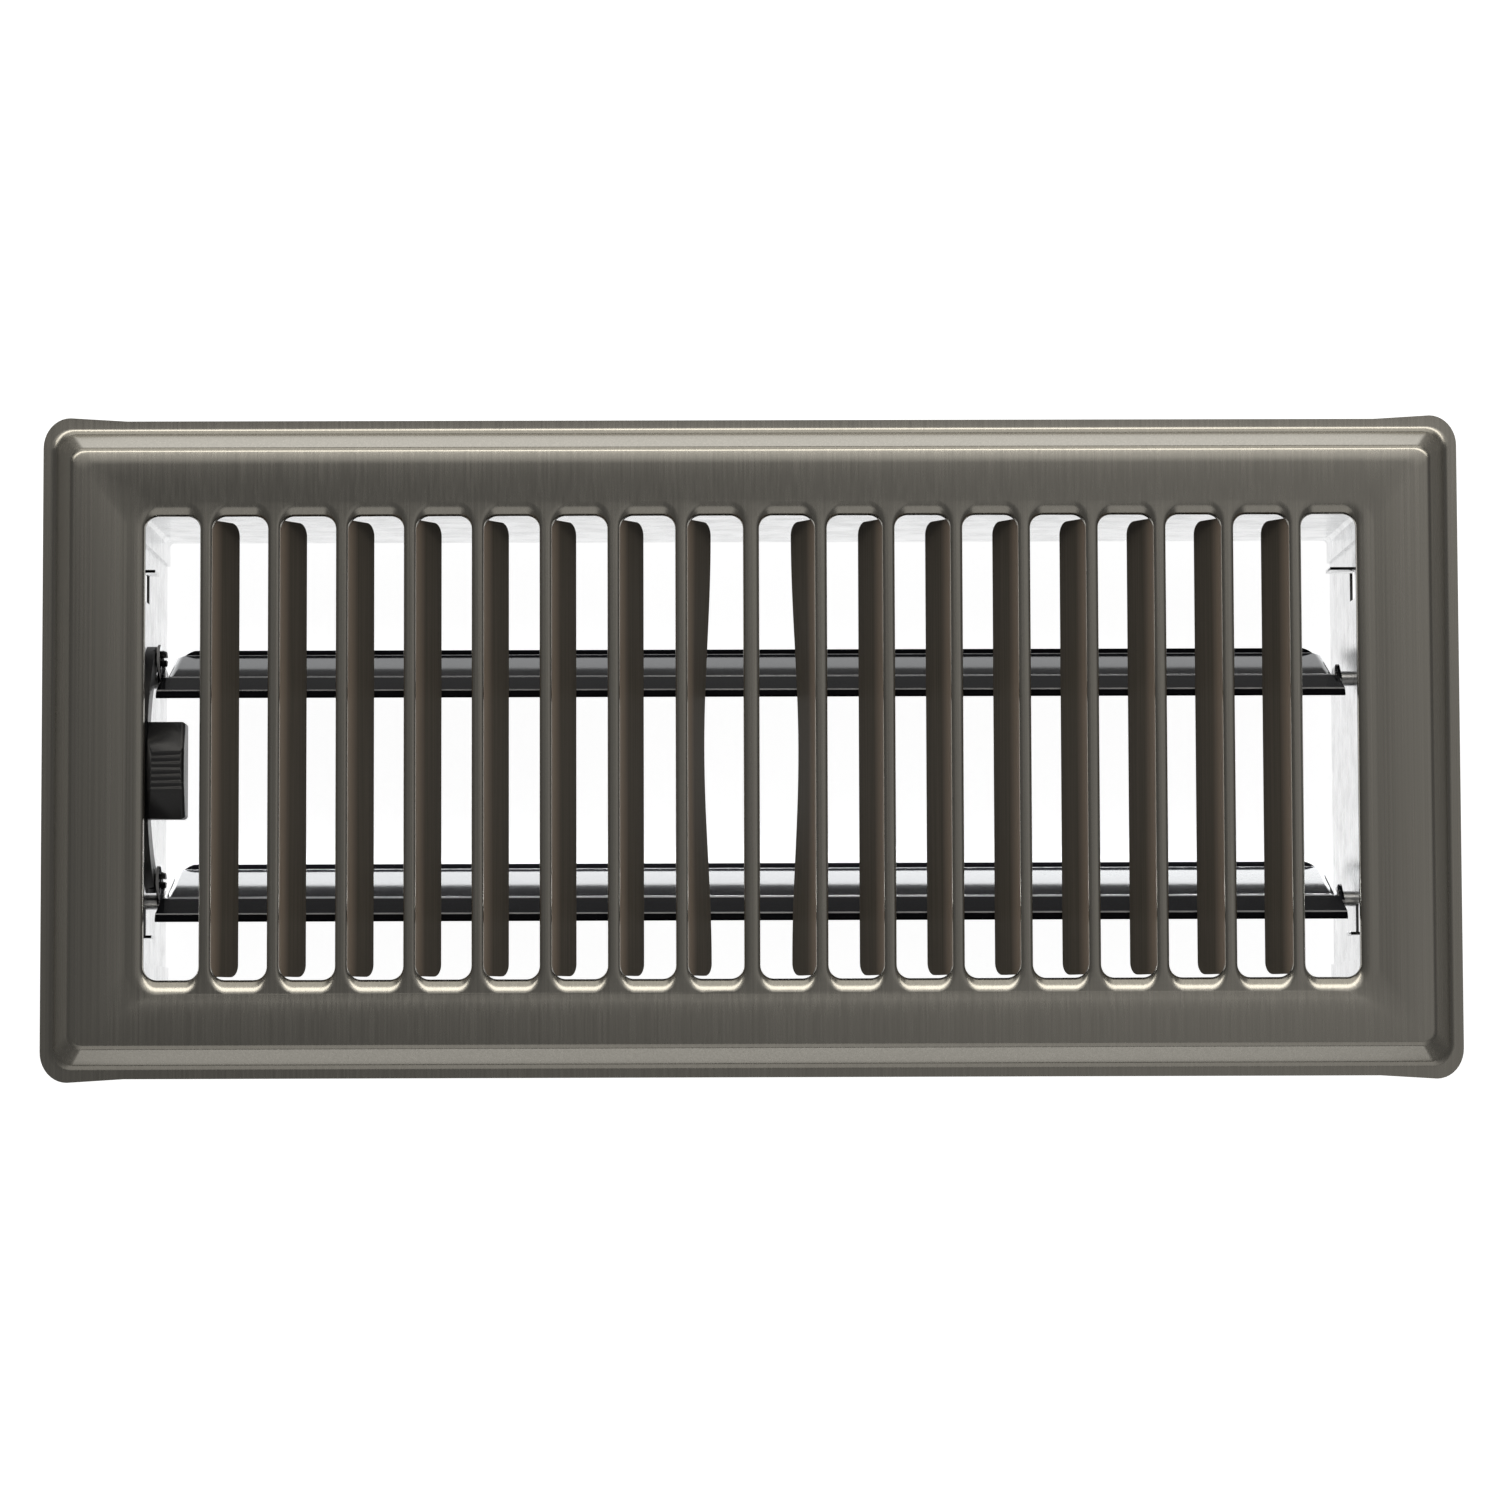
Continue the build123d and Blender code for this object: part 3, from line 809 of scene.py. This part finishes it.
class REGISTER_OT_fins(bpy.types.Operator):
    """Hangs the fins in the slots, the two middle ones bowed"""

    bl_idname = "floor_register.fins"
    bl_label = "Fins"

    def execute(self, context):
        face = context.scene.register_face
        fin = context.scene.register_fin
        finish = context.scene.register_finish
        coat = dull_coat(
            "fin_coat", finish.fin_colour, finish.hinge_light_colour,
            low=face.top - fin.drop / 2, high=face.top - face.roll_height,
        )
        tree = paired_row_tree()
        pitch = face.slot_width + face.bar
        first = face.middle_bar / 2 + face.slot_width
        for name, bow, index, count in (
            ("bowed_fins", fin.bow, 0, 1),
            ("straight_fins", 0.0, 1, face.slots_per_side - 2),
        ):
            work = bpy.data.objects.new(name, fin_skin(face, fin, bow))
            context.scene.collection.objects.link(work)
            thicken(work, face.sheet)
            start = (-(first + index * pitch), 0.0, 0.0)
            repeat(work, tree, count=count, start=start, step=(-pitch, 0.0, 0.0), finish=coat)
            mesh = finished_mesh(work, name)
            smooth(mesh, SHARP)
            weigh_normals(new_piece(name, mesh, coat, "frame", "brushed_face", "face_plate"))
        return {"FINISHED"}


def cut_edges(work):
    """1 for each cut edge of the sheet that faces up, else 0."""
    edge_width = 0.9 * MM
    upright = 0.7
    return [float(is_narrow(one, edge_width) and one.normal.z > upright) for one in work.faces]


class REGISTER_OT_box(bpy.types.Operator):
    """Dresses the four walls of the damper box"""

    bl_idname = "floor_register.box"
    bl_label = "Damper box"

    def execute(self, context):
        plating = zinc_plating("zinc_plating", context.scene.register_finish.box_colour)
        for node in ("lever_end_wall", "plain_end_wall", "rear_side_wall", "front_side_wall"):
            mesh = smooth_copy(node, "plated_" + node, cut_edges)
            weigh_normals(new_piece("plated_" + node, mesh, plating, "frame", "plated_box", node))
        return {"FINISHED"}


def highlighted_bends(work, blade, pivot):
    """1 on a blade's bends and on the crease beside its joggle, which are painted pale as highlights,
    else 0.
    """
    upper = Vector((0.0, cos(blade.lean), sin(blade.lean)))
    upwards = Vector((0.0, -sin(blade.lean), cos(blade.lean)))
    for reach in (blade.crease, blade.crease + blade.crease_width):
        bmesh.ops.bisect_plane(
            work, geom=[*work.verts, *work.edges, *work.faces],
            plane_co=pivot + upwards * reach, plane_no=upwards,
        )
    work.normal_update()
    in_plane = 0.99
    softest, hardest = radians(4), radians(40)
    marks = []
    for one in work.faces:
        reach = (one.calc_center_median() - pivot).dot(upwards) - blade.crease
        crease = 0 < reach < blade.crease_width and one.normal.dot(upper) > in_plane
        turns = [edge.calc_face_angle(0.0) for edge in one.edges]
        bend = is_narrow(one, blade.bend_width) and any(softest < turn < hardest for turn in turns)
        marks.append(float(crease or bend))
    return marks


class REGISTER_OT_blades(bpy.types.Operator):
    """Dresses the two damper blades"""

    bl_idname = "floor_register.blades"
    bl_label = "Damper blades"

    def execute(self, context):
        blade = context.scene.register_blade
        paint = black_paint("blade_paint", context.scene.register_finish.blade_colour)
        places = pivots()
        for node, body, pivot in (
            ("rear_blade", "rear_damper", places["rear_blade_pivot"]),
            ("front_blade", "front_damper", places["front_blade_pivot"]),
        ):
            mesh = smooth_copy(node, "painted_" + node, highlighted_bends, blade, pivot)
            weigh_normals(new_piece("painted_" + node, mesh, paint, body, "black_blade", node))
        return {"FINISHED"}


class REGISTER_OT_lever(bpy.types.Operator):
    """Dresses the thumb lever"""

    bl_idname = "floor_register.lever"
    bl_label = "Thumb lever"

    def execute(self, context):
        plastic = moulded_plastic("lever_plastic", context.scene.register_finish.lever_colour)
        mesh = smooth_copy("damper_lever", "thumb_lever", unmarked)
        weigh_normals(new_piece("thumb_lever", mesh, plastic, "lever", "black_lever", "damper_lever"))
        return {"FINISHED"}


def lathe(profile, steps):
    """A closed solid turned about X from pairs of place and radius."""
    points, faces = [], []
    for x, radius in profile:
        for step in range(steps):
            turn = radians(360 * step / steps)
            points.append((x, radius * cos(turn), radius * sin(turn)))
    for row in range(len(profile) - 1):
        bridge(faces, row * steps, (row + 1) * steps, steps)
    mesh = bpy.data.meshes.new("lathe")
    mesh.from_pydata(points, [], faces)
    work = bmesh.new()
    work.from_mesh(mesh)
    bmesh.ops.remove_doubles(work, verts=work.verts, dist=WELD)
    bmesh.ops.recalc_face_normals(work, faces=work.faces)
    work.to_mesh(mesh)
    work.free()
    return mesh


class REGISTER_OT_rivets(bpy.types.Operator):
    """Sets the four pivot rivets, with domed heads"""

    bl_idname = "floor_register.rivets"
    bl_label = "Pivot rivets"

    def execute(self, context):
        rivet = context.scene.register_rivet
        steel = turned_steel("rivet_steel", context.scene.register_finish.rivet_colour)
        wall = rivet.wall_out - rivet.wall_in
        shoulder = rivet.wall_out - rivet.shoulder_end
        turns = [radians(90 * step / DOME_STEPS) for step in range(DOME_STEPS + 1)]
        dome = [(1 - cos(turn), sin(turn)) for turn in turns]
        profile = [(rivet.head * (rise - 1), rivet.head_radius * out) for rise, out in dome]
        profile += [(0.0, rivet.shank_radius), (wall, rivet.shank_radius), (wall, rivet.shoulder_radius)]
        profile += [(shoulder, rivet.shoulder_radius)]
        dome.reverse()
        profile += [(shoulder + rivet.head * (1 - rise), rivet.head_radius * out) for rise, out in dome]
        work = bpy.data.objects.new("rivets", lathe(profile, LATHE_STEPS))
        context.scene.collection.objects.link(work)
        places = pivots()
        rear, front = places["rear_blade_pivot"], places["front_blade_pivot"]
        start = (-rivet.wall_out, rear.y, rear.z)
        step = (0.0, front.y - rear.y, 0.0)
        repeat(work, paired_row_tree(), count=2, start=start, step=step, finish=steel)
        mesh = finished_mesh(work, "domed_rivets")
        smooth(mesh, SHARP)
        new_piece("domed_rivets", mesh, steel, "frame", "rivet_steel", "pivot_rivets")
        return {"FINISHED"}


def lay_floor(stage):
    """Lays the plain floor, which glows around the register and fades further out."""
    reach = 6.0
    corners = [(-reach, -reach, 0), (reach, -reach, 0), (reach, reach, 0), (-reach, reach, 0)]
    mesh = bpy.data.meshes.new("floor")
    mesh.from_pydata(corners, [], [(0, 1, 2, 3)])
    floor = bpy.data.objects.new("floor", mesh)
    bpy.context.scene.collection.objects.link(floor)
    material, tree, shader, place = new_material("pale_floor")
    where = add_node(tree, "ShaderNodeSeparateXYZ", Vector=place).outputs
    aside = tree.nodes.new("ShaderNodeMath")
    aside.operation = "ABSOLUTE"
    tree.links.new(where["X"], aside.inputs[0])
    glow = stage.floor_glow
    for value, lit, dark in (
        (aside.outputs["Value"], stage.lit_side, stage.dark_side),
        (where["Y"], stage.lit_rear, stage.dark_rear),
        (where["Y"], -stage.lit_front, -stage.dark_front),
    ):
        glow = remap(tree, value, lit, dark, at_low=glow, at_high=0.0, kind="SMOOTHSTEP")
    fill(
        tree, shader,
        Base_Color=(*stage.floor_colour, 1.0),
        Roughness=0.8,
        Emission_Color=(*WHITE, 1.0),
        Emission_Strength=glow,
    )
    mesh.materials.append(material)


def area_light(name, watts, place, aim, width, depth, tint):
    """A soft rectangular light aimed at a point."""
    lamp = bpy.data.lights.new(name, "AREA")
    lamp.shape = "RECTANGLE"
    lamp.size = width
    lamp.size_y = depth
    lamp.energy = watts
    lamp.color = tint
    light = bpy.data.objects.new(name, lamp)
    light.location = place
    light.rotation_euler = (Vector(aim) - Vector(place)).to_track_quat("-Z", "Y").to_euler()
    bpy.context.scene.collection.objects.link(light)
    return light


def hang_lights(stage, middle):
    """Hangs the soft panels around the register."""
    area_light(
        "rear_light", stage.rear_light,
        place=(0.0, 0.68, 1.12), aim=middle, width=2.2, depth=0.3, tint=WARM,
    )
    area_light(
        "fill_light", stage.fill_light,
        place=(0.0, 0.475, 1.323), aim=middle, width=1.2, depth=0.35, tint=PALE,
    )
    area_light(
        "back_light", stage.back_light,
        place=(0.0, 1.0, 0.6), aim=middle, width=1.4, depth=1.1, tint=WARM,
    )
    area_light(
        "front_light", stage.front_light,
        place=(0.0, -1.0, 0.7), aim=middle, width=1.2, depth=1.3, tint=PALE,
    )
    area_light(
        "right_light", stage.right_light,
        place=(0.72, 0.0, 1.5), aim=(0.72, 0.0, 0.0), width=1.3, depth=1.3, tint=PALE,
    )
    area_light(
        "top_light", stage.top_light,
        place=(0.0, 0.0, 1.8), aim=middle, width=2.4, depth=2.4, tint=WHITE,
    )


def lay_strips(stage):
    """Lays a strip of light on the floor below each blade. The strips light the blades alone."""
    blades = bpy.data.collections.new("blades")
    for name in ("painted_rear_blade", "painted_front_blade"):
        blades.objects.link(bpy.data.objects[name])
    above_floor = 0.0005
    for name, watts, y, depth in (
        ("rear_strip", stage.rear_strip, 0.0267, 0.0045),
        ("front_strip", stage.front_strip, -0.0186, 0.0052),
    ):
        strip = area_light(
            name, watts,
            place=(0.0, y, above_floor), aim=(0.0, y, 1.0), width=0.25, depth=depth, tint=COOL,
        )
        strip.light_linking.receiver_collection = blades


def light_room(stage):
    """Fills the room with dim even light, and has colours shown as they are."""
    world = bpy.data.worlds.new("room")
    world.use_nodes = True
    tree = world.node_tree
    fill(tree, tree.nodes["Background"], Color=(1.0, 0.99, 0.97, 1.0), Strength=stage.room_light)
    bpy.context.scene.world = world
    bpy.context.scene.view_settings.view_transform = "Standard"


def set_camera(stage, middle):
    """Sets the camera at the photograph's viewing angle."""
    camera = bpy.data.cameras.new("camera")
    camera.sensor_width = 36.0
    camera.lens = stage.lens
    camera.clip_end = 20.0
    viewer = bpy.data.objects.new("camera", camera)
    viewer.rotation_euler = (stage.front_tilt, -stage.left_tilt, stage.roll)
    aim = middle + Vector((-stage.aim_left, -stage.aim_front, 0.0))
    viewer.location = aim + viewer.rotation_euler.to_matrix() @ Vector((0.0, 0.0, stage.distance))
    bpy.context.scene.collection.objects.link(viewer)
    bpy.context.scene.camera = viewer


class REGISTER_OT_stage(bpy.types.Operator):
    """Lays the floor, sets the lights and the camera"""

    bl_idname = "floor_register.stage"
    bl_label = "Stage"

    def execute(self, context):
        stage = context.scene.register_stage
        middle = Vector((0.0, 0.0, context.scene.register_face.top))
        lay_floor(stage)
        hang_lights(stage, middle)
        lay_strips(stage)
        light_room(stage)
        set_camera(stage, middle)
        return {"FINISHED"}


STEPS = (
    REGISTER_OT_face,
    REGISTER_OT_fins,
    REGISTER_OT_box,
    REGISTER_OT_blades,
    REGISTER_OT_lever,
    REGISTER_OT_rivets,
    REGISTER_OT_stage,
)


class REGISTER_PT_panel(bpy.types.Panel):
    """Lists the steps that dress the register"""

    bl_idname = "REGISTER_PT_panel"
    bl_label = "Floor Register"
    bl_space_type = "VIEW_3D"
    bl_region_type = "UI"
    bl_category = "Register"

    def draw(self, context):
        for step in STEPS:
            self.layout.operator(step.bl_idname)


SETTINGS = {
    "register_face": FaceSettings,
    "register_fin": FinSettings,
    "register_blade": BladeSettings,
    "register_rivet": RivetSettings,
    "register_finish": FinishSettings,
    "register_stage": StageSettings,
}
CLASSES = (*SETTINGS.values(), *STEPS, REGISTER_PT_panel)


def register():
    for one in CLASSES:
        bpy.utils.register_class(one)
    for name, group in SETTINGS.items():
        setattr(bpy.types.Scene, name, PointerProperty(type=group))


def unregister():
    for name in SETTINGS:
        delattr(bpy.types.Scene, name)
    for one in reversed(CLASSES):
        bpy.utils.unregister_class(one)


def main():
    """Dresses the register step by step."""
    register()
    bpy.ops.floor_register.face()
    bpy.ops.floor_register.fins()
    bpy.ops.floor_register.box()
    bpy.ops.floor_register.blades()
    bpy.ops.floor_register.lever()
    bpy.ops.floor_register.rivets()
    bpy.ops.floor_register.stage()


if __name__ == "__main__":
    main()
